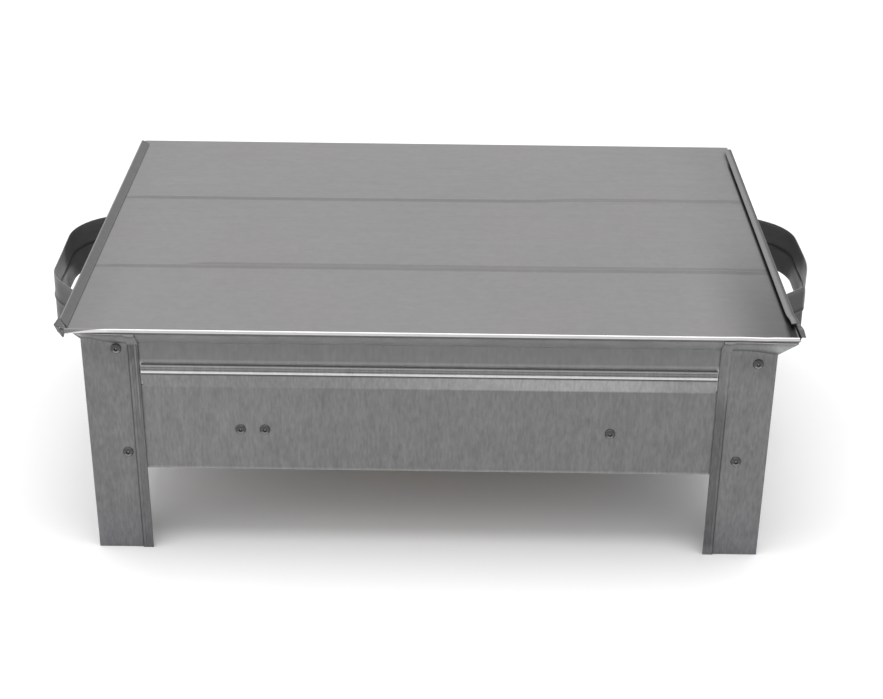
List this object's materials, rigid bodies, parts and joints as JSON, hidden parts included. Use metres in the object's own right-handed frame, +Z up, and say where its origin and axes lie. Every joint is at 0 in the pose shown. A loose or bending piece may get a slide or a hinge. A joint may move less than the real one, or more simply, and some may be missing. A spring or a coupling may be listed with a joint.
{
  "type": "top bar hive",
  "caption": "Low galvanised sheet hive box on angle legs with a sliding lid, strap handles, top bars on rails, a follower board, a mesh floor and a turning entrance disc.",
  "frame": {"origin": "centre of the footprint of the four legs, on the floor", "axes": "+X along the long side to the right, +Y to the rear (the side with the entrance disc), +Z up"},
  "size_m": [0.7322, 0.4544, 0.2346],
  "materials": {
    "galvanised": "galvanised, satin, fine vertical streaks",
    "handle_steel": "galvanised strip, satin",
    "rivet": "bare, semi-bright",
    "mesh": "perforated, matt",
    "wood": "planed softwood, untreated"
  },
  "bodies": {
    "box": {"wall_front": "galvanised", "wall_back": "galvanised", "wall_left": "galvanised", "wall_right": "galvanised", "collar_front": "galvanised", "collar_back": "galvanised", "collar_left": "galvanised", "collar_right": "galvanised", "leg_front_left": "galvanised", "leg_front_right": "galvanised", "leg_rear_left": "galvanised", "leg_rear_right": "galvanised", "handle_left": "handle_steel", "handle_right": "handle_steel", "leg_rivets": "rivet", "bracket_rivets": "rivet", "handle_rivets": "rivet", "rail_front": "galvanised", "rail_back": "galvanised", "floor_strap_left": "galvanised", "floor_strap_right": "galvanised", "floor_frame": "galvanised", "floor_mesh": "mesh", "entrance_pivot": "rivet", "top_bar_01": "wood", "top_bar_02": "wood", "top_bar_03": "wood", "top_bar_04": "wood", "top_bar_05": "wood", "top_bar_06": "wood", "top_bar_07": "wood", "top_bar_08": "wood", "top_bar_09": "wood", "top_bar_10": "wood", "top_bar_11": "wood", "top_bar_12": "wood"},
    "lid": {"lid_panel": "galvanised"},
    "follower": {"follower_board": "wood"},
    "entrance": {"entrance_disc": "galvanised"}
  },
  "joints": [
    {"name": "lid_slide", "type": "slide", "parent": "box", "child": "lid", "axis": [0, -1, 0], "range_m": [0, 0.42]},
    {"name": "follower_slide", "type": "slide", "parent": "box", "child": "follower", "axis": [1, 0, 0], "range_m": [0, 0.14]},
    {"name": "entrance_turn", "type": "hinge", "parent": "box", "child": "entrance", "pos_m": [0.2, 0.21, 0.128], "axis": [0, 1, 0], "continuous": true}
  ]
}
